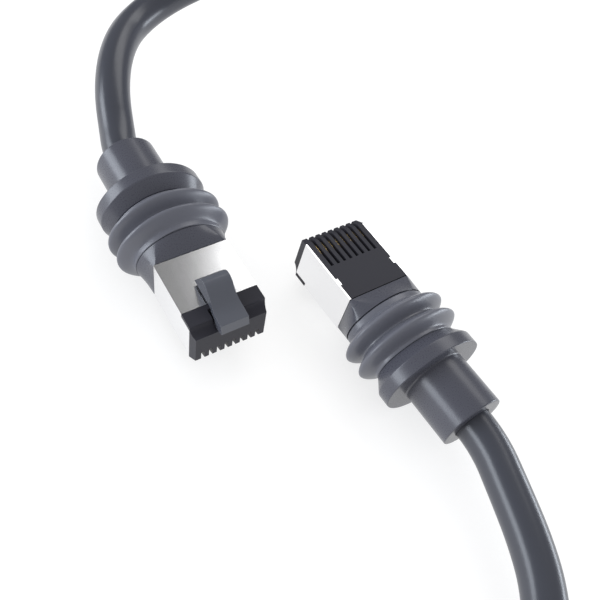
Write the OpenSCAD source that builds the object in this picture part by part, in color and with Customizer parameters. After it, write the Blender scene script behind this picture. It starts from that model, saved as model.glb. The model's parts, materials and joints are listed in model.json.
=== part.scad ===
// Shielded ethernet patch cable with a sealed, ribbed backshell on each plug.
// Row frame: origin at the middle of plug A's nose, +X along its insertion direction, +Z up.
// A plug's own frame: x = 0 at the shield's rear edge, +X to the nose, +Z to the latch side.

/* [Plug] */
// Width of the plug, over the shield
plug_w = 11.68; // [11.5:0.02:11.8]
// Thickness of the plug from contact face to latch face
plug_t = 7.35; // [7.2:0.05:7.5]
// Length of the shield's side panels
shield_len = 11.66; // [11.2:0.02:12]
// Length of the shield's latch-side panel
shield_top_len = 9.12; // [8.9:0.02:9.3]
// Sheet thickness of the shield
shield_t = 0.25; // [0.2:0.01:0.3]
// Length of the plastic nose in front of the shield
nose_len = 1.37; // [1.3:0.01:1.45]
// Distance between neighbouring contact slots
contact_pitch = 1.236; // [1.2:0.006:1.24]
// Width of one contact slot
slot_w = 0.55; // [0.45:0.05:0.6]
// Depth of the contact slots below the contact face
slot_depth = 2.15; // [2:0.05:2.3]

/* [Latch] */
// Half width of the latch at its front pad
latch_front_hw = 2.15; // [2:0.05:2.2]
// Half width of the latch at its rear end
latch_rear_hw = 1.95; // [1.8:0.05:2]

/* [Backshell] */
// Half width of the oval seat of the seal
oval_a = 7.27; // [7.2:0.01:7.35]
// Half height of the oval seat of the seal
oval_b = 5.52; // [5.45:0.01:5.6]
// End radius of the oval seat
oval_end_r = 4.1; // [4:0.05:4.2]
// Height of the seal's lips above the oval
lip_h = 1.89; // [1.5:0.01:1.9]
// Half width of the flange
flange_a = 8.6; // [8.5:0.05:8.8]
// Half height of the flange
flange_b = 7.17; // [7:0.01:7.3]
// Thickness of the flange
flange_t = 2.06; // [1.8:0.02:2.3]
// Outer radius of the cable collar
collar_r = 4.97; // [4.8:0.01:5.1]
// Length of the cable collar behind the flange
collar_len = 8.84; // [8:0.02:10]

/* [Cable] */
// Outer radius of the jacket
jacket_r = 2.9; // [2.85:0.01:2.9]
// Radius of one insulated wire
wire_r = 0.4; // [0.36:0.01:0.4]

/* [Layout] */
// Roll of plug A about its own axis, in degrees
roll_a = 8.42; // [6:0.01:10]
// Roll of plug B about its own axis, in degrees
roll_b = 2.15; // [0:0.01:4]

/* [Hidden] */
$fn = 48;

gap = 0.05;                              // clearance between assembled pieces
half_w = plug_w / 2;
half_t = plug_t / 2;
nose_x = shield_len + nose_len;          // front face of the nose
contact_count = 8;
nose_side_chamfer = 0.35;                // how far the nose's sides draw in at its front
contact_chamfer = 0.53;                  // rise of the contact face at the nose's front
cove_offset = 0.115;                     // cove centre below the latch face
slot_rear_x = 6.47;                      // rear end of the contact slots
side_step = 0.7;                         // lowered latch edge of the side panels' front
tab_x = [2.8, 4.04];                     // folded tab, along the plug
tab_w = 0.62;                            // folded tab, across the plug

// Cable chamber inside the plug body
chamber_hw = 4.95;
rear_pocket = [-2.3, 2.3];               // rear pocket, low and high z
rear_pocket_end = 4.15;
wire_row_z = -0.35;
row_chamber = [-0.98, 0.28];             // wire row chamber, low and high z
row_chamber_end = 12;

// Latch pivot at the nose ledge
latch_pivot = [12.5, 2.76];
knuckle_r = 0.5;
knuckle_gap = 0.06;

// Stations of the backshell and seal, along the plug
seam_x = -3.17;                          // front shell meets the seal
seal_rear_x = -10.9;
lip_x = [-5.65, -8.84];                  // lip crests
lip_half_len = 1.5;                      // half length of a lip's foot
flange_front_x = -12.94;
flange_end_r = 5.6;                      // end radius of the flange's oval
flange_rear_x = flange_front_x - flange_t;
collar_rear_x = flange_rear_x - collar_len;
cable_bore_r = jacket_r + 0.08;
jacket_inner_r = 2.35;
braid_r = [2.12, 2.27];                  // inner and outer radius
foil_r = [1.92, 2.0];
core_end_r = 2.27;
jacket_end_x = -14.2;                    // where the jacket is cut back
core_end_x = -9;                         // where the wires fan out of the core
fan_end_x = 3.7;
wire_tip_x = 11.9;
wire_ring_r = 1.5;                       // ring of the wires where they leave the core

// Plug poses in the row frame
axis_b = [2.22, 23.94, 0];
yaw_b = 183.73;

module in_plug_a() {
    translate([-nose_x, 0, 0]) rotate([roll_a, 0, 0]) children();
}

module in_plug_b() {
    translate(axis_b) rotate([0, 0, yaw_b]) rotate([180 - roll_b, 0, 0]) children();
}

// ---- Cable path: waypoints [point, direction], joined by pairs of tangent arcs ----

floor_z = -7.49;
lie_z = floor_z + jacket_r;              // axis height of cable that lies on the floor
heading_b = [cos(yaw_b + 180), sin(yaw_b + 180), 0];
collar_mouth_b = axis_b - collar_rear_x * heading_b;
collar_mouth_a = [collar_rear_x - nose_x, 0, 0];
bend_start_b = [39.9, 22.55, 0];
bend_start_a = [-45.9, 1.69, 1.92];

bend_b_way = [[collar_mouth_b, heading_b], [bend_start_b, [cos(-18), sin(-18), 0]]];
run_way = [
    bend_b_way[1],
    [[50.6, 17.5, -0.4], [cos(-36), sin(-36), -0.08]],
    [[93, 76, lie_z], [0, 1, 0]],
    [[-116, 100, lie_z], [0, -1, 0]],
    [[-73, 42, 22], [0.55, -0.82, 0.05]],
    [[-66.5, 24, 11.2], [-0.247, -0.798, -0.549]],
    [bend_start_a, [0.898, -0.202, -0.392]]];
bend_a_way = [run_way[6], [collar_mouth_a, [1, 0, 0]]];

function unit(v) = v / norm(v);

// An arc is [start, tangent, normal, radius, angle, side vector of the cable's section].
function arc_to(p, t, q, side) =
    let (v = q - p, n = unit(v - (v * t) * t))
    [p, t, n, (v * v) / (2 * (v * n)), 2 * atan2(v * n, v * t), side];
function end_tangent(s) = cos(s[4]) * s[1] + sin(s[4]) * s[2];
function end_side(s) =
    let (b = cross(s[1], s[2]), end_normal = cos(s[4]) * s[2] - sin(s[4]) * s[1])
    (s[5] * s[2]) * end_normal + (s[5] * b) * b;
function meeting_point(p1, t1, p2, t2) =
    let (v = p2 - p1, t = t1 + t2, k = 2 * (1 - t1 * t2), vt = v * t,
         d = (v * v) / (sqrt(vt * vt + k * (v * v)) + vt))
    (p1 + p2 + d * (t1 - t2)) / 2;
function arcs_through(w, side, i = 0) =
    i == len(w) - 1 ? [] :
    let (t1 = unit(w[i][1]), t2 = unit(w[i + 1][1]),
         m = meeting_point(w[i][0], t1, w[i + 1][0], t2),
         s1 = arc_to(w[i][0], t1, m, side),
         s2 = arc_to(m, end_tangent(s1), w[i + 1][0], end_side(s1)))
    concat([s1, s2], arcs_through(w, end_side(s2), i + 1));

// Every second arc is a touch thicker and runs a little into its neighbours, so that the arcs
// join as one solid. Its 2D child adds $grow to its own size.
splice_grow = 0.02;
splice_len = 0.2;

// Sweeps its 2D child along a way, shifted by off in the cable's section
module along(way, off = [0, 0], thick_first = false) {
    arcs = arcs_through(way, [0, 0, 1]);
    for (i = [0 : len(arcs) - 1]) {
        s = arcs[i];
        t = s[1];
        n = s[2];
        b = cross(t, n);
        c = s[0] + s[3] * n;
        o = off[0] * s[5] + off[1] * cross(t, s[5]);
        thick = (i % 2 == 0) == thick_first;
        reach = thick ? splice_len / s[3] * 180 / PI : 0;
        before = i > 0 ? reach : 0;
        after = i < len(arcs) - 1 ? reach : 0;
        $grow = thick ? splice_grow : 0;
        $lean = atan2(s[5] * b, -(s[5] * n));
        multmatrix([[-n[0], t[0], b[0], c[0]], [-n[1], t[1], b[1], c[1]], [-n[2], t[2], b[2], c[2]]])
            rotate([0, 0, -before]) rotate_extrude(angle = s[4] + before + after)
                translate([s[3] - o * n, o * b]) children();
    }
}

module ring(outer, inner) {
    difference() {
        circle(r = outer + $grow);
        circle(r = inner - $grow);
    }
}

// ---- Shape helpers ----

// Cylinder along the plug from x0 to x1
module x_rod(x0, x1, r) {
    translate([x0, 0, 0]) rotate([0, 90, 0]) cylinder(r = r, h = x1 - x0);
}

function arc_points(c, r, a0, a1, n) =
    [for (i = [0 : n]) c + r * [cos(a0 + (a1 - a0) * i / n), sin(a0 + (a1 - a0) * i / n)]];

function oval_side_r(a, b, r) = ((a - r) * (a - r) + b * b - r * r) / (2 * (b - r));

// Ring around a four-arc oval: its 2D child is [distance outside the oval, x].
module oval_ring(a, b, r) {
    side_r = oval_side_r(a, b, r);
    lean = atan2(a - r, side_r - b);
    rotate([90, 0, 90]) for (side = [0, 180]) rotate(side) {
        translate([a - r, 0]) rotate(lean - 90)
            rotate_extrude(angle = 180 - 2 * lean) translate([r, 0]) children();
        translate([0, b - side_r]) rotate(90 - lean)
            rotate_extrude(angle = 2 * lean) translate([side_r, 0]) children();
    }
}

// Outline of a four-arc oval pushed out by d, as points
function oval_points(a, b, r, d, n) =
    let (s = oval_side_r(a, b, r), lean = atan2(a - r, s - b))
    concat(arc_points([a - r, 0], r + d, lean - 90, 90 - lean, n),
           arc_points([0, b - s], s + d, 90 - lean, 90 + lean, n),
           arc_points([r - a, 0], r + d, 90 + lean, 270 - lean, n),
           arc_points([0, s - b], s + d, 270 - lean, 270 + lean, n));

// Slab of a four-arc oval pushed out by d, from x0 to x1
module oval_slab(x0, x1, a, b, r, d) {
    translate([x0, 0, 0]) rotate([90, 0, 90]) linear_extrude(x1 - x0)
        polygon(oval_points(a, b, r, d, 12));
}

// Straight band of the seat's oval from x0 to x1, between distances d0 and d1 from the oval
module seat_band(x0, x1, d0, d1) {
    difference() {
        oval_slab(x0, x1, oval_a, oval_b, oval_end_r, d1);
        oval_slab(x0 - 1, x1 + 1, oval_a, oval_b, oval_end_r, d0);
    }
}

function slot_y(i) = (i - (contact_count - 1) / 2) * contact_pitch;

// ---- Plug pieces, each in the plug's own frame ----

module plug_solid() {
    inner_hw = half_w - shield_t - 0.03;
    // Core that fills the shield
    translate([gap, -inner_hw, -half_t])
        cube([shield_len, 2 * inner_hw, plug_t - shield_t - 0.03]);
    // Corners above the side panels' lowered edge
    translate([shield_top_len + gap, -half_w, half_t - side_step + gap])
        cube([shield_len - shield_top_len, plug_w, side_step - gap]);
    // Nose, full width, with its contact face and sides drawn in
    nose_x0 = shield_len + 0.03;
    intersection() {
        rotate([90, 0, 0]) linear_extrude(plug_w, center = true)
            polygon([[nose_x0, -half_t], [nose_x, contact_chamfer - half_t], [nose_x, half_t],
                     [nose_x0, half_t]]);
        linear_extrude(plug_t + 1, center = true)
            polygon([[nose_x0, -half_w], [nose_x, nose_side_chamfer - half_w],
                     [nose_x, half_w - nose_side_chamfer], [nose_x0, half_w]]);
    }
}

module plug_body() {
    difference() {
        plug_solid();
        // Cove in front of the latch-side step
        translate([nose_x, 0, half_t - cove_offset]) rotate([90, 0, 0])
            cylinder(r = nose_len, h = plug_w + 2, center = true);
        translate([shield_len, -half_w - 1, half_t - cove_offset]) cube([nose_len + 1, plug_w + 2, 1]);
        // Rear pocket and wire row chamber
        translate([-1, -chamber_hw, rear_pocket[0]])
            cube([rear_pocket_end + 1, 2 * chamber_hw, rear_pocket[1] - rear_pocket[0]]);
        translate([rear_pocket_end - 0.1, -chamber_hw, row_chamber[0]])
            cube([row_chamber_end - rear_pocket_end, 2 * chamber_hw, row_chamber[1] - row_chamber[0]]);
        // Contact slots, open at the front, with a window into the chamber
        for (i = [0 : contact_count - 1]) {
            translate([slot_rear_x, slot_y(i) - slot_w / 2, -half_t - 1])
                cube([nose_x, slot_w, slot_depth + 1]);
            translate([8.5, slot_y(i) - slot_w / 2, -half_t + 1]) cube([3.4, slot_w, half_t - 1.5]);
        }
        // Pockets for the shield's folded tabs
        for (side = [-1, 1]) translate([tab_x[0] - gap, side * half_w - tab_w - gap, -half_t - 1])
            cube([tab_x[1] - tab_x[0] + 2 * gap, 2 * tab_w + 2 * gap, 1 + shield_t + gap]);
        // Groove for the latch's root and well under its strap
        translate([latch_pivot[0], 0, latch_pivot[1]]) rotate([90, 0, 0])
            cylinder(r = knuckle_r + knuckle_gap, h = 2 * latch_front_hw + 0.4, center = true);
        translate([10, -latch_front_hw - 0.2, latch_pivot[1] - 0.1])
            cube([2.6, 2 * latch_front_hw + 0.4, 3]);
    }
}

// Side view of the latch: root, front pad, rising strap, crest and a tip that drops to the rear
module latch_outline() {
    crest = [7.85, 6.1];
    crest_r = 1;
    polygon(concat(
        [[latch_pivot[0] - 0.2, latch_pivot[1] - 0.3], [13.1, 2.36], [14.05, 2.75], [13.72, 4.24],
         [11.6, 4.62], [10.5, 5.05], [9.6, 5.75]],
        arc_points(crest, crest_r, 38, 140, 6),
        [[5.2, 4.45], [5.5, 4.3], [7.1, 4.95], [8.6, 4.75], [10, 4.02], [11.4, 3.75]]));
    translate(latch_pivot) circle(r = knuckle_r);
}

module latch() {
    intersection() {
        rotate([90, 0, 0]) linear_extrude(2 * latch_front_hw, center = true) latch_outline();
        linear_extrude(20, center = true)
            polygon([[5, -latch_rear_hw], [10, -latch_rear_hw], [12, -latch_front_hw], [15, -latch_front_hw],
                     [15, latch_front_hw], [12, latch_front_hw], [10, latch_rear_hw], [5, latch_rear_hw]]);
    }
}

module shield() {
    difference() {
        translate([0, -half_w, -half_t]) cube([shield_len, plug_w, plug_t]);
        translate([-1, shield_t - half_w, -half_t - 1])
            cube([shield_len + 2, plug_w - 2 * shield_t, plug_t + 1 - shield_t]);
        translate([shield_top_len, -half_w - 1, half_t - side_step]) cube([shield_len, plug_w + 2, 2]);
    }
    for (side = [-1, 1]) translate([tab_x[0], side * (half_w - tab_w / 2) - tab_w / 2, -half_t])
        cube([tab_x[1] - tab_x[0], tab_w, shield_t]);
}

module contacts() {
    blade_t = 0.36;
    tip_z = wire_row_z - wire_r - 0.03;
    for (i = [0 : contact_count - 1]) translate([0, slot_y(i), 0]) rotate([90, 0, 0])
        linear_extrude(blade_t, center = true)
            polygon(concat(
                [[8.8, tip_z], [8.8, -1.9]], arc_points([9.6, -2.5], 0.8, 180, 270, 3),
                arc_points([11.0, -2.5], 0.8, 270, 360, 3), [[11.8, tip_z], [11.3, tip_z], [11.1, tip_z - 0.4],
                [10.5, tip_z - 0.4], [10.3, tip_z], [9.9, tip_z - 0.4], [9.3, tip_z - 0.4]]));
}

module load_bar() {
    difference() {
        translate([rear_pocket_end + 0.1, gap - chamber_hw, row_chamber[0] + 0.04])
            cube([4, 2 * (chamber_hw - gap), row_chamber[1] - row_chamber[0] - 0.08]);
        for (i = [0 : contact_count - 1]) translate([0, slot_y(i), wire_row_z]) x_rod(3, 10, wire_r + 0.06);
    }
}

// Place of wire i on the ring where it leaves the cable's core; i counts across the plug
function ring_place(i) =
    let (from_edge = i < 4 ? i : 7 - i, side = i < 4 ? -1 : 1,
         turn = from_edge < 2 ? 22.5 : 67.5, lift = from_edge % 2 == 0 ? 1 : -1)
    wire_ring_r * [side * cos(turn), lift * sin(turn)];

module plug_wires() {
    forward = [1, 0, 0];
    leg_r = wire_r - 0.04;
    for (i = [0 : contact_count - 1]) {
        place = ring_place(i);
        along([[[core_end_x + gap, place[0], place[1]], forward],
               [[fan_end_x, slot_y(i), wire_row_z], forward]]) circle(r = leg_r + $grow);
        translate([0, slot_y(i), wire_row_z]) x_rod(fan_end_x - splice_len, wire_tip_x, leg_r);
    }
}

module crimp_ring() {
    difference() {
        x_rod(-13.6, -9.6, 2.85);
        x_rod(-14, -9, core_end_r + gap);
    }
}

module front_shell() {
    skin = 0.02;
    difference() {
        hull() {
            translate([-gap - skin, -half_w, -half_t]) cube([skin, plug_w, plug_t]);
            translate([seam_x + gap, 0, 0]) rotate([90, 0, 90]) linear_extrude(skin)
                polygon(oval_points(oval_a, oval_b, oval_end_r, 0, 10));
        }
        translate([-5, -4.6, rear_pocket[0]]) cube([6, 9.2, rear_pocket[1] - rear_pocket[0]]);
    }
}

// One lip as [distance, x] points, from its front foot over the crest to its rear foot
function lip_points(x, n) =
    [for (i = [0 : n]) let (s = 1 - 2 * i / n) [lip_h * pow(cos(90 * s), 1.5), x + lip_half_len * s]];

module lip_seal() {
    seat = -1.2;
    oval_ring(oval_a, oval_b, oval_end_r) polygon(concat(
        [[seat, seal_rear_x], [seat, seam_x - gap], [0, seam_x - gap]],
        lip_points(lip_x[0], 8), lip_points(lip_x[1], 8), [[0, seal_rear_x]]));
}

// Shoulder that rises from the seal's end to the flange's rim, hollow inside distance d of the seat
module shoulder(d) {
    skin = 0.02;
    front_x = seal_rear_x - gap;
    difference() {
        hull() {
            oval_slab(flange_front_x - skin, flange_front_x, flange_a, flange_b, flange_end_r, -0.03);
            oval_slab(front_x - skin, front_x, oval_a, oval_b, oval_end_r, -0.02);
        }
        oval_slab(flange_front_x - 1, front_x + 1, oval_a, oval_b, oval_end_r, d);
    }
}

module backshell() {
    sleeve = [-2.2, -1.3];               // inner and outer face, from the oval
    flange_depth = 4.4;                  // from the flange's rim to inside the collar
    difference() {
        union() {
            seat_band(flange_front_x - 0.5, seam_x - 0.2, sleeve[0], sleeve[1]);
            shoulder(sleeve[0] + 0.3);
            oval_ring(flange_a, flange_b, flange_end_r) translate([-flange_depth, flange_rear_x])
                square([flange_depth, flange_t]);
            x_rod(collar_rear_x, flange_front_x - 0.3, collar_r);
        }
        x_rod(collar_rear_x - 1, -10, cable_bore_r);
    }
}

// ---- Cable ends: the short stretch that bends behind each collar ----

// Straight stretch inside the collar; it reaches a little into the first arc behind the mouth
module straight_end(x, r) {
    x_rod(collar_rear_x - splice_len, x, r + splice_grow);
}

module jacket_end_straight() {
    difference() {
        straight_end(jacket_end_x, jacket_r);
        x_rod(collar_rear_x - 1, jacket_end_x + 1, jacket_inner_r - splice_grow);
    }
}

module jacket_end_a() color("slategray") {
    in_plug_a() jacket_end_straight();
    along(bend_a_way, thick_first = true) ring(jacket_r, jacket_inner_r);
}

module jacket_end_b() color("slategray") {
    in_plug_b() jacket_end_straight();
    along(bend_b_way) ring(jacket_r, jacket_inner_r);
}

module core_end_a() color("silver") {
    in_plug_a() straight_end(core_end_x, core_end_r);
    along(bend_a_way, thick_first = true) circle(r = core_end_r + $grow);
}

module core_end_b() color("silver") {
    in_plug_b() straight_end(core_end_x, core_end_r);
    along(bend_b_way) circle(r = core_end_r + $grow);
}

// ---- Cable run ----

pair_r = 1.3;                            // distance of a pair from the cable's axis
wire_step = wire_r + 0.03;               // half distance between a pair's two wires

// Places of the two wires of pair k in the cable's section
function wire_places(k) =
    let (a = 45 + 90 * k, out = [cos(a), sin(a)], side = [-sin(a), cos(a)])
    [pair_r * out + wire_step * side, pair_r * out - wire_step * side];

module wire_pair(k) {
    for (place = wire_places(k)) along(run_way, place) circle(r = wire_r + $grow);
}

module cable_jacket() color("slategray") along(run_way) ring(jacket_r, jacket_inner_r);
module braid_shield() color("silver") along(run_way) ring(braid_r[1], braid_r[0]);
module foil_wrap() color("gainsboro") along(run_way) ring(foil_r[1], foil_r[0]);
module cross_filler() color("white") along(run_way) rotate($lean) {
    arm = [3.5 + $grow, 0.24 + $grow];
    square(arm, center = true);
    rotate(90) square(arm, center = true);
}
module pair_one() color("royalblue") wire_pair(0);
module pair_two() color("orange") wire_pair(1);
module pair_three() color("seagreen") wire_pair(2);
module pair_four() color("saddlebrown") wire_pair(3);

// ---- Placed plug pieces ----

module plug_body_a() color("dimgray") in_plug_a() plug_body();
module latch_a() color("slategray") in_plug_a() latch();
module shield_a() color("lightgray") in_plug_a() shield();
module contacts_a() color("gold") in_plug_a() contacts();
module load_bar_a() color("white") in_plug_a() load_bar();
module plug_wires_a() color("orange") in_plug_a() plug_wires();
module crimp_ring_a() color("silver") in_plug_a() crimp_ring();
module front_shell_a() color("dimgray") in_plug_a() front_shell();
module lip_seal_a() color("slategray") in_plug_a() lip_seal();
module backshell_a() color("dimgray") in_plug_a() backshell();

module plug_body_b() color("dimgray") in_plug_b() plug_body();
module latch_b() color("slategray") in_plug_b() latch();
module shield_b() color("lightgray") in_plug_b() shield();
module contacts_b() color("gold") in_plug_b() contacts();
module load_bar_b() color("white") in_plug_b() load_bar();
module plug_wires_b() color("orange") in_plug_b() plug_wires();
module crimp_ring_b() color("silver") in_plug_b() crimp_ring();
module front_shell_b() color("dimgray") in_plug_b() front_shell();
module lip_seal_b() color("slategray") in_plug_b() lip_seal();
module backshell_b() color("dimgray") in_plug_b() backshell();

cable_jacket();
braid_shield();
foil_wrap();
cross_filler();
pair_one();
pair_two();
pair_three();
pair_four();
plug_body_a();
latch_a();
shield_a();
contacts_a();
load_bar_a();
plug_wires_a();
crimp_ring_a();
front_shell_a();
lip_seal_a();
backshell_a();
jacket_end_a();
core_end_a();
plug_body_b();
latch_b();
shield_b();
contacts_b();
load_bar_b();
plug_wires_b();
crimp_ring_b();
front_shell_b();
lip_seal_b();
backshell_b();
jacket_end_b();
core_end_b();
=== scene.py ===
import json
import math

import bmesh
import bpy
import numpy as np
from mathutils import Matrix, Vector


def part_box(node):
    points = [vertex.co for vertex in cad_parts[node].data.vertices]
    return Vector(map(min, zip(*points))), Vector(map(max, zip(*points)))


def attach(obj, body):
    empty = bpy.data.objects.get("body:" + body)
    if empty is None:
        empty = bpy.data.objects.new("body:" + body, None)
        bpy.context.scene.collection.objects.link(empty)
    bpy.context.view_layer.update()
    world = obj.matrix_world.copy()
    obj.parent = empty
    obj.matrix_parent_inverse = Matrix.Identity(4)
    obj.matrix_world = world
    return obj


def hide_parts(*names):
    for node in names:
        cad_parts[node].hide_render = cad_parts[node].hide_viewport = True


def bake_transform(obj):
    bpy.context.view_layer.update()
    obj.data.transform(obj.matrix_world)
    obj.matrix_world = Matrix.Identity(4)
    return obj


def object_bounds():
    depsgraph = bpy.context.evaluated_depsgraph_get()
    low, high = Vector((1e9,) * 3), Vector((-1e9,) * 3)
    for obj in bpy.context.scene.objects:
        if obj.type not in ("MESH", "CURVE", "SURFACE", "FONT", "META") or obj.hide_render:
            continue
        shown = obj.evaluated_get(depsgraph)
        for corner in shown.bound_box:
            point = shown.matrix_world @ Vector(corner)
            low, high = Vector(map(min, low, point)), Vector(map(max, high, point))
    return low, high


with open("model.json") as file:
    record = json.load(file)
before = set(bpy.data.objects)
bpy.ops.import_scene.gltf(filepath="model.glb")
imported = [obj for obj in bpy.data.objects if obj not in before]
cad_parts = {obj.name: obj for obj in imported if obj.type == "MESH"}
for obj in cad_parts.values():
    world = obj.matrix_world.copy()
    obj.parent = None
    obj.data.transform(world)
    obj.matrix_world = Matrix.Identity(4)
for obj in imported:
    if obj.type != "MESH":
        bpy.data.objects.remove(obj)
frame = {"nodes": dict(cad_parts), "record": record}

# Lengths are millimetres in a plug's own frame unless a comment says otherwise:
# x = 0 at the shield's rear edge, +x to the nose, +z to the latch side.
MM = 0.001
CAD_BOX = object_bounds()
RECORD = frame["record"]
NODES = frame["nodes"]
PLUGS = ("a", "b")

# How finely the pieces are made
SHARP_DEGREES = 30                # creases above this stay sharp
MERGE_M = 1e-7                    # vertices closer than this, in metres, become one
RING_POINTS = 144                 # points on each oval ring
TUBE_SIDES = 40
LIP_STEPS = 24
FILLET_STEPS = 5
FILLET_SHARE = 0.45               # the most of a side that one rounded corner may take
ROUND_LIMIT = 1e-6                # an oval this close to its end radius is a circle


# ---- Places read from the frame ----

def mount(name):
    return next(m for m in RECORD["mounts"] if m["name"] == name)


def joint(name):
    return next(j for j in RECORD["behaviour"]["joints"] if j["name"] == name)


def local_box(node, matrix):
    """Lowest and highest corner of a CAD node along the axes of matrix, in millimetres."""
    mesh = NODES[node].data
    co = np.zeros(len(mesh.vertices) * 3)
    mesh.vertices.foreach_get("co", co)
    inverse = np.array(matrix.inverted())
    local = (co.reshape(-1, 3) / MM) @ inverse[:3, :3].T + inverse[:3, 3]
    return local.min(axis=0), local.max(axis=0)


def plug_frame(letter):
    """Matrix of a plug's axes in the row frame, in millimetres."""
    nose = mount(f"plug_{letter}_nose")
    x = Vector(nose["axis"]).normalized()
    y = -Vector(joint(f"latch_{letter}_press")["axis"]).normalized()
    m = Matrix((x, y, x.cross(y))).transposed().to_4x4()
    m.translation = Vector(nose["pos_m"]) / MM
    shield_rear = local_box(f"shield_{letter}", m)[0][0]
    return m @ Matrix.Translation((shield_rear, 0, 0))


FRAMES = {letter: plug_frame(letter) for letter in PLUGS}
SHIELD = local_box("shield_a", FRAMES["a"])
SHELL = local_box("front_shell_a", FRAMES["a"])
SEAL = local_box("lip_seal_a", FRAMES["a"])
BACK = local_box("backshell_a", FRAMES["a"])

HALF_W = SHIELD[1][1]
HALF_T = SHIELD[1][2]
FRONT_X = SHELL[1][0]
GAP = 0.05                        # seams between the seal and the shells beside it
SEAM_X = SHELL[0][0] - GAP
SEAL_REAR_X = SEAL[0][0]
COLLAR_REAR_X = BACK[0][0]
FLANGE_FRONT_X = -12.94
FLANGE_REAR_X = -15.0

OVAL = (7.27, 5.52, 4.1)          # seal seat: half width, half height, end radius
FLANGE = (BACK[1][1], BACK[1][2], 5.6)
LIP_X = (-5.65, -8.84)            # middle of each lip
LIP_H = SEAL[1][2] - OVAL[1]
LIP_HALF = 1.5                    # half of a lip's length along x
SLEEVE_IN = -2.2                  # inner face of the sleeve under the seal, from the seat's oval
SLEEVE_OUT = -1.3                 # and its outer face
BORE_FRONT_X = -12.6              # where the cable's bore opens into the rear shell's hollow
COLLAR_R = 4.97
JACKET_R = 2.9
CORE_R = 2.27


# ---- Mesh helpers ----

def new_piece(name, verts, faces, matrix, slot, replaced):
    """A smooth mesh piece that stands for one CAD node, from vertices placed by matrix."""
    place = np.array(matrix)
    world = (np.asarray(verts, float) @ place[:3, :3].T + place[:3, 3]) * MM
    mesh = bpy.data.meshes.new(name)
    mesh.from_pydata(world.tolist(), [], faces)
    bm = bmesh.new()
    bm.from_mesh(mesh)
    bmesh.ops.remove_doubles(bm, verts=bm.verts, dist=MERGE_M)
    bmesh.ops.recalc_face_normals(bm, faces=bm.faces)
    bm.to_mesh(mesh)
    bm.free()
    mesh.polygons.foreach_set("use_smooth", [True] * len(mesh.polygons))
    mesh.set_sharp_from_angle(angle=math.radians(SHARP_DEGREES))
    mesh.materials.append(MATERIALS[slot])
    piece = bpy.data.objects.new(name, mesh)
    bpy.context.scene.collection.objects.link(piece)
    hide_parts(replaced)
    return piece


def weighted_normals(piece):
    """Normals that keep the large faces flat beside small ones."""
    piece.modifiers.new("normals", "WEIGHTED_NORMAL").keep_sharp = True


def bevel_edges(piece, width, segments, degrees):
    """Rounded edges, width in millimetres, on edges sharper than degrees."""
    bevel = piece.modifiers.new("edges", "BEVEL")
    bevel.width = width * MM
    bevel.segments = segments
    bevel.limit_method = "ANGLE"
    bevel.angle_limit = math.radians(degrees)


def loft(rings, closed):
    """Quads between rings of equal length.

    closed joins the last ring to the first; otherwise both ends are capped.
    """
    count = len(rings[0])
    verts = [tuple(p) for ring in rings for p in ring]
    faces = []
    for i in range(len(rings) if closed else len(rings) - 1):
        low = i * count
        high = ((i + 1) % len(rings)) * count
        for k in range(count):
            after = (k + 1) % count
            faces.append((low + k, low + after, high + after, high + k))
    if not closed:
        faces.append(tuple(reversed(range(count))))
        faces.append(tuple(range((len(rings) - 1) * count, len(rings) * count)))
    return verts, faces


def curve_through(points, steps):
    """Points of a Catmull-Rom curve through the given points, steps to each span."""
    p = np.array(points, float)
    p = np.vstack((2 * p[0] - p[1], p, 2 * p[-1] - p[-2]))
    out = [p[1]]
    for i in range(1, len(p) - 2):
        for k in range(1, steps + 1):
            t = k / steps
            out.append(0.5 * (2 * p[i] + (p[i + 1] - p[i - 1]) * t
                              + (2 * p[i - 1] - 5 * p[i] + 4 * p[i + 1] - p[i + 2]) * t * t
                              + (3 * p[i] - p[i - 1] - 3 * p[i + 1] + p[i + 2]) * t ** 3))
    return np.array(out)


def spread(points, count):
    """Points evenly spaced along a polyline."""
    p = np.array(points, float)
    length = np.concatenate(([0], np.cumsum(np.linalg.norm(np.diff(p, axis=0), axis=1))))
    want = np.linspace(0, length[-1], count)
    return np.column_stack([np.interp(want, length, p[:, k]) for k in range(p.shape[1])])


# ---- Ovals ----

def side_radius(a, b, r):
    """Radius of an oval's long arcs, from its half width, half height and end radius."""
    return ((a - r) ** 2 + b * b - r * r) / (2 * (b - r))


def oval_points(a, b, r, grow):
    """Points of a four-arc oval pushed out by grow, at equal steps of the outward normal's angle."""
    theta = np.arange(RING_POINTS) * 2 * math.pi / RING_POINTS
    out = np.column_stack((np.cos(theta), np.sin(theta)))
    if a - r < ROUND_LIMIT:
        return out * (r + grow)
    s = side_radius(a, b, r)
    lean = math.atan2(a - r, s - b)
    on_end = (np.abs(out[:, 1]) <= math.cos(lean))[:, None]
    zero = np.zeros(RING_POINTS)
    end_centre = np.column_stack((np.sign(out[:, 0]) * (a - r), zero))
    side_centre = np.column_stack((zero, np.sign(out[:, 1]) * (b - s)))
    return np.where(on_end, end_centre, side_centre) + out * (np.where(on_end, r, s) + grow)


def oval_hit(angle, grow):
    """Point of the seal seat's oval on a ray at an ellipse angle in the first quadrant."""
    a, b, r = OVAL
    s = side_radius(a, b, r)
    lean = math.atan2(a - r, s - b)
    ray = np.array((a * math.cos(angle), b * math.sin(angle)))
    ray /= np.linalg.norm(ray)
    on_end = ray[1] * (a - r + r * math.sin(lean)) <= ray[0] * r * math.cos(lean)
    centre = np.array((a - r, 0) if on_end else (0, b - s))
    radius = (r if on_end else s) + grow
    along = ray @ centre
    return ray * (along + math.sqrt(along * along - centre @ centre + radius * radius))


def station_ring(station):
    """A ring in the plug's frame from (x, half width, half height, end radius, grow)."""
    return np.column_stack((np.full(RING_POINTS, station[0]), oval_points(*station[1:])))


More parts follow.
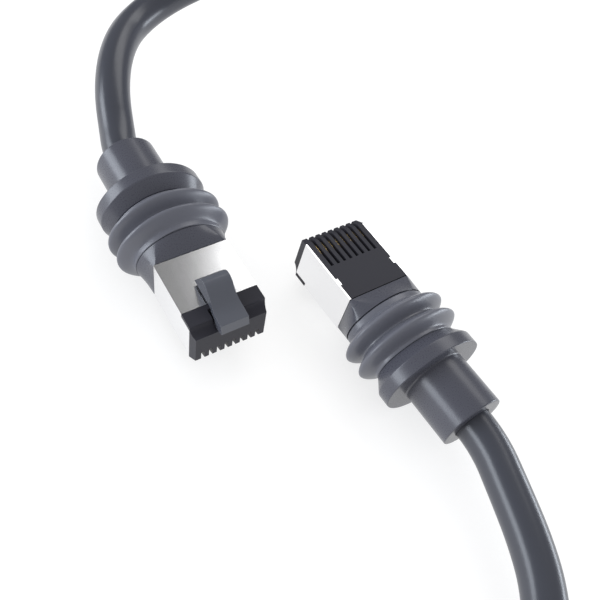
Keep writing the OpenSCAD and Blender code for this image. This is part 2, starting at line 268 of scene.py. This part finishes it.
def fillet(corners):
    """Stations with rounded corners, from a closed list of (station, corner length)."""
    out = []
    for i, (here, size) in enumerate(corners):
        here = np.array(here, float)
        if size == 0:
            out.append(tuple(here))
            continue
        ends = []
        for other in (corners[i - 1][0], corners[(i + 1) % len(corners)][0]):
            step = np.array(other, float) - here
            length = math.hypot(step[0], step[1] + step[4])
            ends.append(here + step * min(size / length, FILLET_SHARE))
        for k in range(FILLET_STEPS + 1):
            t = k / FILLET_STEPS
            out.append(tuple((1 - t) ** 2 * ends[0] + 2 * t * (1 - t) * here + t * t * ends[1]))
    return out


# ---- Materials ----

NOISE_SPAN = (0.3, 0.7)           # where most of a noise's values lie


def node_material(name):
    """A new material with its nodes, links and shader."""
    material = bpy.data.materials.new(name)
    material.use_nodes = True
    nodes = material.node_tree.nodes
    return material, nodes, material.node_tree.links, nodes["Principled BSDF"]


def add_noise(nodes, links, scale, detail, stretch=(1, 1, 1)):
    """Noise over the piece, scale in features to the metre."""
    coords = nodes.new("ShaderNodeTexCoord")
    mapping = nodes.new("ShaderNodeMapping")
    mapping.inputs["Scale"].default_value = stretch
    noise = nodes.new("ShaderNodeTexNoise")
    noise.inputs["Scale"].default_value = scale
    noise.inputs["Detail"].default_value = detail
    links.new(coords.outputs["Object"], mapping.inputs["Vector"])
    links.new(mapping.outputs["Vector"], noise.inputs["Vector"])
    return noise.outputs["Fac"]


def add_range(nodes, links, source, low, high):
    """A noise's values, spread from low to high."""
    span = nodes.new("ShaderNodeMapRange")
    span.inputs["From Min"].default_value = NOISE_SPAN[0]
    span.inputs["From Max"].default_value = NOISE_SPAN[1]
    span.inputs["To Min"].default_value = low
    span.inputs["To Max"].default_value = high
    links.new(source, span.inputs["Value"])
    return span.outputs["Result"]


def add_tint(nodes, links, source, dark, light):
    """A colour between dark and light, by source."""
    mix = nodes.new("ShaderNodeMix")
    mix.data_type = "RGBA"
    mix.inputs[6].default_value = (*dark, 1)
    mix.inputs[7].default_value = (*light, 1)
    links.new(source, mix.inputs[0])
    return mix.outputs[2]


def add_bump(nodes, links, shader, height, strength, distance):
    """Bump on a shader from a height, distance in millimetres."""
    bump = nodes.new("ShaderNodeBump")
    bump.inputs["Strength"].default_value = strength
    bump.inputs["Distance"].default_value = distance * MM
    links.new(height, bump.inputs["Height"])
    links.new(bump.outputs["Normal"], shader.inputs["Normal"])


def shade(color, factor):
    return tuple(c * factor for c in color)


def plastic(name, color, roughness, grain_mm, bump_strength, uneven=0.03, ior=1.55):
    """Moulded plastic: slow colour drift, and a fine grain in roughness and bump."""
    material, nodes, links, shader = node_material(name)
    drift = add_noise(nodes, links, scale=60, detail=2)
    grain = add_noise(nodes, links, scale=1 / (grain_mm * MM), detail=4)
    tint = add_tint(nodes, links, drift, shade(color, 0.93), shade(color, 1.07))
    gloss = add_range(nodes, links, grain, roughness - uneven, roughness + uneven)
    links.new(tint, shader.inputs["Base Color"])
    links.new(gloss, shader.inputs["Roughness"])
    shader.inputs["IOR"].default_value = ior
    add_bump(nodes, links, shader, grain, bump_strength, distance=0.02)
    return material


def metal(name, color, roughness, stretch, uneven=0.05, bump_strength=0.15):
    """Rolled or drawn metal: streaks along one direction in roughness and bump."""
    material, nodes, links, shader = node_material(name)
    streaks = add_noise(nodes, links, scale=900, detail=6, stretch=stretch)
    clouds = add_noise(nodes, links, scale=120, detail=3)
    tint = add_tint(nodes, links, clouds, shade(color, 0.94), color)
    gloss = add_range(nodes, links, streaks, roughness - uneven, roughness + uneven)
    shader.inputs["Metallic"].default_value = 1
    links.new(tint, shader.inputs["Base Color"])
    links.new(gloss, shader.inputs["Roughness"])
    add_bump(nodes, links, shader, streaks, bump_strength, distance=0.005)
    return material


def woven(name, color):
    """Braided wire: two crossed waves make the over and under of the strands, with painted shade
    darkening the low parts between them.
    """
    material, nodes, links, shader = node_material(name)
    coords = nodes.new("ShaderNodeTexCoord")
    heights = []
    for direction in ((1, 1, 1), (1, -1, -1)):
        turn = nodes.new("ShaderNodeMapping")
        turn.inputs["Scale"].default_value = direction
        wave = nodes.new("ShaderNodeTexWave")
        wave.bands_direction = "DIAGONAL"
        wave.inputs["Scale"].default_value = 700
        links.new(coords.outputs["Object"], turn.inputs["Vector"])
        links.new(turn.outputs["Vector"], wave.inputs["Vector"])
        heights.append(wave.outputs["Fac"])
    top = nodes.new("ShaderNodeMath")
    top.operation = "MAXIMUM"
    links.new(heights[0], top.inputs[0])
    links.new(heights[1], top.inputs[1])
    # painted shade: the colour darkens to 0.3 of the wire's colour where the weave is low, between and
    # under the strands
    tint = add_tint(nodes, links, top.outputs[0], shade(color, 0.3), color)
    shader.inputs["Metallic"].default_value = 1
    shader.inputs["Roughness"].default_value = 0.35
    links.new(tint, shader.inputs["Base Color"])
    add_bump(nodes, links, shader, top.outputs[0], strength=0.6, distance=0.05)
    return material


def make_materials():
    """One material for each of the record's slots."""
    out = {
        # colour, roughness, grain in millimetres, bump strength
        "jacket": plastic("jacket_pvc", (0.042, 0.045, 0.058), 0.29, 0.5, 0.02, uneven=0.015),
        "seal_rubber": plastic("seal_rubber", (0.108, 0.112, 0.136), 0.32, 0.2, 0.06, uneven=0.02),
        "shell_plastic": plastic("shell_plastic", (0.060, 0.062, 0.079), 0.28, 0.18, 0.03,
                                 uneven=0.015),
        "nose_plastic": plastic("nose_plastic", (0.029, 0.029, 0.037), 0.38, 0.16, 0.1, ior=1.22),
        "latch_plastic": plastic("latch_plastic", (0.078, 0.083, 0.101), 0.24, 0.16, 0.03),
        "clear_plastic": plastic("clear_plastic", (0.7, 0.7, 0.68), 0.25, 0.2, 0.1),
        "filler": plastic("filler", (0.75, 0.75, 0.72), 0.45, 0.3, 0.2),
        # colour, roughness, stretch of the streaks
        "shield_steel": metal("shield_steel", (0.92, 0.92, 0.93), 0.18, (0.06, 1, 1),
                              uneven=0.012, bump_strength=0.02),
        "contact_gold": metal("contact_gold", (0.86, 0.62, 0.24), 0.22, (0.1, 1, 1)),
        "crimp_metal": metal("crimp_metal", (0.62, 0.61, 0.6), 0.3, (0.1, 1, 1)),
        "foil": metal("foil", (0.82, 0.83, 0.84), 0.2, (1, 0.2, 1), bump_strength=0.5),
        "braid": woven("braid", (0.66, 0.66, 0.68)),
    }
    wires = {"wire_blue": (0.03, 0.1, 0.5), "wire_orange": (0.75, 0.22, 0.03),
             "wire_green": (0.03, 0.3, 0.08), "wire_brown": (0.2, 0.08, 0.03)}
    for slot, color in wires.items():
        out[slot] = plastic(slot, color, 0.4, 0.2, 0.1)
    return out


MATERIALS = make_materials()


def paint_nodes():
    """Every CAD node takes the material of its slot."""
    for part in RECORD["subparts"]:
        data = NODES[part["node"]].data
        data.materials.clear()
        data.materials.append(MATERIALS[part["material_slot"]])


def soften_node(node, width):
    """Small rounded edges on a CAD node, by modifiers only."""
    flat_degrees = 0.5
    piece = NODES[node]
    flat = piece.modifiers.new("flat", "DECIMATE")
    flat.decimate_type = "DISSOLVE"
    flat.angle_limit = math.radians(flat_degrees)
    bevel_edges(piece, width, segments=2, degrees=35)
    piece.modifiers["edges"].harden_normals = True


# ---- Cable ----

def heading(degrees, rise):
    """A direction in the row frame, turned from +x towards -y, and rising."""
    turn = math.radians(degrees)
    return Vector((math.cos(turn), -math.sin(turn), rise))


# Places and directions along the cable, in the row frame
BEND_START = {"a": (Vector((-45.9, 1.69, 1.92)), Vector((-0.898, 0.202, 0.392))),
              "b": (Vector((39.9, 22.55, 0)), heading(18, 0))}
LIE_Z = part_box("cable_jacket")[0].z / MM + JACKET_R


def run_way():
    """The long run from plug B's bend to plug A's, lying on the floor in between."""
    return [
        BEND_START["b"],
        (Vector((50.6, 17.5, -0.4)), heading(36, -0.08)),
        (Vector((93, 76, LIE_Z)), Vector((0, 1, 0))),
        (Vector((-116, 100, LIE_Z)), Vector((0, -1, 0))),
        (Vector((-73, 42, 22)), Vector((0.55, -0.82, 0.05))),
        (Vector((-66.5, 24, 11.2)), Vector((-0.247, -0.798, -0.549))),
        (BEND_START["a"][0], -BEND_START["a"][1]),
    ]


def meeting_point(p1, t1, p2, t2):
    """Where two equal-length tangent arcs, leaving p1 and arriving at p2, meet."""
    v = p2 - p1
    t = t1 + t2
    k = 2 * (1 - t1.dot(t2))
    d = v.dot(v) / (math.sqrt(v.dot(t) ** 2 + k * v.dot(v)) + v.dot(t))
    return (p1 + p2 + d * (t1 - t2)) / 2


def walk_arc(p, t, q, step):
    """Points and tangents along the arc that leaves p along t and ends at q."""
    least_steps = 6
    v = q - p
    n = (v - v.dot(t) * t).normalized()
    radius = v.dot(v) / (2 * v.dot(n))
    angle = 2 * math.atan2(v.dot(n), v.dot(t))
    count = max(least_steps, round(radius * angle / step))
    for k in range(1, count + 1):
        a = angle * k / count
        point = p + radius * (math.sin(a) * t + (1 - math.cos(a)) * n)
        yield point, math.cos(a) * t + math.sin(a) * n


def walk(way, step):
    """Points and tangents along a way of (point, direction), joined by pairs of arcs."""
    out = [(way[0][0], way[0][1].normalized())]
    for (p1, t1), (p2, t2) in zip(way, way[1:]):
        t1 = t1.normalized()
        t2 = t2.normalized()
        middle = meeting_point(p1, t1, p2, t2)
        out += walk_arc(p1, t1, middle, step)
        out += walk_arc(middle, out[-1][1], p2, step)
    return out


def tube(path, radius):
    """A closed tube along points and tangents, with a section that doesn't twist."""
    side = Vector((0, 0, 1))
    rings = []
    for p, t in path:
        side = (side - side.dot(t) * t).normalized()
        across = t.cross(side)
        turns = (2 * math.pi * k / TUBE_SIDES for k in range(TUBE_SIDES))
        rings.append([p + radius * (math.cos(a) * side + math.sin(a) * across) for a in turns])
    return loft(rings, closed=False)


def make_run():
    verts, faces = tube(walk(run_way(), step=1.0), JACKET_R)
    jacket = new_piece("jacket_run", verts, faces, Matrix.Identity(4), "jacket", "cable_jacket")
    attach(jacket, "cable")


def make_bend(letter):
    """Jacket and core from inside the collar to where the long run starts."""
    depths = (9, 6, 3, 1.5, 0.5)
    place = FRAMES[letter]
    out = (place.to_3x3() @ Vector((-1, 0, 0))).normalized()
    mouth = place @ Vector((COLLAR_REAR_X, 0, 0))
    start = BEND_START[letter]
    inside = [(mouth - out * depth, out) for depth in depths]
    path = inside + walk([(mouth, out), start], step=0.3)
    for kind, radius, slot in (("jacket", JACKET_R, "jacket"), ("core", CORE_R, "braid")):
        verts, faces = tube(path, radius)
        piece = new_piece(f"{kind}_bend_{letter}", verts, faces, Matrix.Identity(4), slot,
                          f"{kind}_end_{letter}")
        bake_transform(piece)


# ---- Seal, rear shell and front shell ----

def lip_outline(x):
    """One lip as (x, height): a concave foot, a rounded crest and a concave foot."""
    for k in range(LIP_STEPS + 1):
        s = 1 - 2 * k / LIP_STEPS
        yield x + LIP_HALF * s, LIP_H * max(math.cos(math.pi / 2 * s), 0) ** 1.5


def make_seal(letter):
    seat = -1.2
    front = SEAM_X - GAP
    edge = ((0, -0.25), (0.04, -0.08), (0.15, 0))
    outline = [(SEAL_REAR_X, seat), (front, seat)]
    outline += [(front - inset, height) for inset, height in edge]
    for x in LIP_X:
        outline += lip_outline(x)
    outline += [(SEAL_REAR_X + inset, height) for inset, height in reversed(edge)]
    verts, faces = loft([station_ring((x, *OVAL, d)) for x, d in outline], closed=True)
    piece = new_piece(f"seal_ribbed_{letter}", verts, faces, FRAMES[letter], "seal_rubber",
                      f"lip_seal_{letter}")
    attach(piece, f"plug_{letter}")


def make_rear_shell(letter):
    """Sleeve under the seal, shoulder, flange, collar and the cable's bore, as one outline."""
    collar = (COLLAR_R,) * 3
    bore = (JACKET_R + 0.08,) * 3
    sleeve_x = SEAM_X - 0.2
    shoulder_x = SEAL_REAR_X - GAP
    corners = [
        ((sleeve_x, *OVAL, SLEEVE_IN), 0),
        ((sleeve_x, *OVAL, SLEEVE_OUT), 0.1),
        ((shoulder_x, *OVAL, SLEEVE_OUT), 0),
        ((shoulder_x, *OVAL, 0), 0.08),
        ((FLANGE_FRONT_X, *FLANGE, 0), 0.16),
        ((FLANGE_REAR_X, *FLANGE, 0), 0.16),
        ((FLANGE_REAR_X, *collar, 0), 0.3),
        ((COLLAR_REAR_X, *collar, 0), 0.2),
        ((COLLAR_REAR_X, *bore, 0), 0.1),
        ((BORE_FRONT_X, *bore, 0), 0),
        ((BORE_FRONT_X, *OVAL, SLEEVE_IN), 0)]
    verts, faces = loft([station_ring(s) for s in fillet(corners)], closed=True)
    piece = new_piece(f"shell_rear_{letter}", verts, faces, FRAMES[letter], "shell_plastic",
                      f"backshell_{letter}")
    weighted_normals(piece)
    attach(piece, f"plug_{letter}")


def shell_quarter(grow):
    """(rectangle point, oval point) pairs of a quarter, from the side's middle to the top's middle."""
    side_crease = math.radians(28)
    top_crease = math.radians(57.5)
    chamfer = 0.3
    side_steps = 8
    corner_steps = 8
    top_steps = 10
    w = HALF_W + grow
    h = HALF_T + grow
    pairs = []
    for k in range(side_steps):
        pairs.append(((w, (h - chamfer) * k / side_steps), side_crease * k / side_steps))
    for k in range(corner_steps):
        s = k / corner_steps
        angle = side_crease + (top_crease - side_crease) * s
        pairs.append(((w - chamfer * s, h - chamfer + chamfer * s), angle))
    for k in range(top_steps + 1):
        s = k / top_steps
        pairs.append((((w - chamfer) * (1 - s), h), top_crease + (math.pi / 2 - top_crease) * s))
    return [(np.array(p), oval_hit(angle, grow)) for p, angle in pairs]


def shell_ring(x, t, grow):
    """A ring of the front shell: t = 0 is the plug's rectangle, t = 1 the oval."""
    quarter = [rect + (oval - rect) * t for rect, oval in shell_quarter(grow)]
    half = quarter[:-1] + [(-y, z) for y, z in quarter[:0:-1]]
    return [(x, y, z) for y, z in half] + [(x, -y, -z) for y, z in half]


def make_front_shell(letter):
    """Shell from the plug's rectangle to the oval, with a groove at the seal's seam."""
    wall = 1.0
    rim = -0.08
    groove = 0.12
    groove_floor = -0.3
    length = SEAM_X - FRONT_X
    rings = [shell_ring(FRONT_X, 0, rim)]
    for t in (0.02, 0.1, 0.25, 0.4, 0.55, 0.7, 0.85, 0.97):
        rings.append(shell_ring(FRONT_X + length * t, t, 0))
    for x, t, grow in ((SEAM_X + groove, 1, 0), (SEAM_X + groove, 1, groove_floor),
                       (SEAM_X, 1, groove_floor), (SEAM_X, 1, -wall), (FRONT_X, 0, -wall)):
        rings.append(shell_ring(x, t, grow))
    verts, faces = loft(rings, closed=True)
    piece = new_piece(f"shell_front_{letter}", verts, faces, FRAMES[letter], "shell_plastic",
                      f"front_shell_{letter}")
    weighted_normals(piece)
    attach(piece, f"plug_{letter}")


# ---- Latch ----

def latch_half_width(x):
    """Narrow at the rear, widening over a short taper to the pad at the front."""
    rear = 1.95
    widening = 0.2
    taper_start = 10
    taper_length = 2
    return rear + widening * min(max((x - taper_start) / taper_length, 0), 1)


def make_latch(letter):
    """An arched arm: (x, z) outlines of its top and its underside, from the nose to the free tip."""
    sections = 70
    top = [(13.65, 4.25), (12.6, 4.38), (11.8, 4.53), (11.1, 4.78), (10.5, 5.16), (9.9, 5.66),
           (9.3, 6.27), (8.7, 6.82), (8.25, 7.04), (7.75, 7.09), (7.25, 6.95), (6.85, 6.66),
           (6.4, 6.15), (5.8, 5.3), (5.2, 4.42)]
    under = [(14.05, 2.75), (13.2, 2.4), (12.4, 2.35), (12.0, 2.75), (10.5, 2.95), (10.35, 3.9),
             (9, 4.03), (5.25, 4.33)]
    smooth_top = curve_through(top, steps=6)
    rings = []
    for (xt, zt), (xu, zu) in zip(spread(smooth_top, sections), spread(under, sections)):
        wt = latch_half_width(xt)
        wu = latch_half_width(xu)
        rings.append([(xt, -wt, zt), (xt, wt, zt), (xu, wu, zu), (xu, -wu, zu)])
    verts, faces = loft(rings, closed=False)
    piece = new_piece(f"latch_arm_{letter}", verts, faces, FRAMES[letter], "latch_plastic",
                      f"latch_{letter}")
    bevel_edges(piece, width=0.14, segments=3, degrees=40)
    weighted_normals(piece)
    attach(piece, f"latch_{letter}")


# ---- Stage ----

def area_light(name, direction, distance, size, radiance, tint):
    """A soft box that faces the origin from a direction; distance and size in metres."""
    data = bpy.data.lights.new(name, "AREA")
    data.shape = "RECTANGLE"
    data.size, data.size_y = size
    data.energy = radiance * math.pi * size[0] * size[1]
    data.color = tint
    light = bpy.data.objects.new(name, data)
    away = Vector(direction).normalized()
    light.location = away * distance
    light.visible_camera = False
    light.rotation_euler = away.to_track_quat("Z", "Y").to_euler()
    bpy.context.scene.collection.objects.link(light)


def make_floor():
    """A pale paper floor under the cable, metres across."""
    half = 3.0
    dark, light = 0.32, 0.34
    z = CAD_BOX[0][2]
    corners = [(-half, -half, z), (half, -half, z), (half, half, z), (-half, half, z)]
    mesh = bpy.data.meshes.new("floor")
    mesh.from_pydata(corners, [], [(0, 1, 2, 3)])
    material, nodes, links, shader = node_material("floor_paper")
    grain = add_noise(nodes, links, scale=400, detail=3)
    links.new(add_tint(nodes, links, grain, (dark,) * 3, (light,) * 3), shader.inputs["Base Color"])
    shader.inputs["Roughness"].default_value = 0.9
    shader.inputs["Emission Color"].default_value = (1, 1, 1, 1)
    shader.inputs["Emission Strength"].default_value = 0.7
    mesh.materials.append(material)
    floor = bpy.data.objects.new("floor", mesh)
    bpy.context.scene.collection.objects.link(floor)


def make_world():
    """White light on surfaces, and a darker room in reflections."""
    surfaces, reflections = 0.9, 0.22
    world = bpy.data.worlds.new("studio")
    world.use_nodes = True
    nodes = world.node_tree.nodes
    links = world.node_tree.links
    path = nodes.new("ShaderNodeLightPath")
    strength = nodes.new("ShaderNodeMapRange")
    strength.inputs["To Min"].default_value = surfaces
    strength.inputs["To Max"].default_value = reflections
    links.new(path.outputs["Is Glossy Ray"], strength.inputs["Value"])
    links.new(strength.outputs["Result"], nodes["Background"].inputs["Strength"])
    nodes["Background"].inputs["Color"].default_value = (1, 1, 1, 1)
    bpy.context.scene.world = world


def make_lights():
    cool = (0.86, 0.92, 1)
    white = (1, 1, 1)
    # name, direction, distance, size, radiance, tint
    area_light("left_box", (-0.443, -0.89, 0.26), 0.4, (0.4, 0.17), 6.0, cool)
    area_light("right_box", (0.33, 0.93, 0.13), 0.4, (0.35, 0.09), 8.0, cool)
    area_light("top_box", (-0.45, 0.56, 0.79), 0.45, (0.3, 0.22), 2.0, white)
    bpy.context.scene.view_settings.view_transform = "Standard"


def make_camera():
    """The photograph's viewing angle, placed in millimetres in the row frame."""
    data = bpy.data.cameras.new("camera")
    data.lens = 45.44
    data.sensor_width = 36
    data.clip_start = 0.005
    right = Vector((0.50296, 0.82686, 0.25166))
    up = Vector((-0.74218, 0.26396, 0.61603))
    matrix = Matrix((right, up, right.cross(up))).transposed().to_4x4()
    matrix.translation = Vector((48.42, -43.60, 84.92)) * MM
    camera = bpy.data.objects.new("camera", data)
    camera.matrix_world = matrix
    bpy.context.scene.collection.objects.link(camera)
    bpy.context.scene.camera = camera


paint_nodes()
for plug in PLUGS:
    soften_node(f"shield_{plug}", 0.03)
    soften_node(f"plug_body_{plug}", 0.04)
    make_front_shell(plug)
    make_seal(plug)
    make_rear_shell(plug)
    make_latch(plug)
make_run()
for plug in PLUGS:
    make_bend(plug)
make_floor()
make_world()
make_lights()
make_camera()
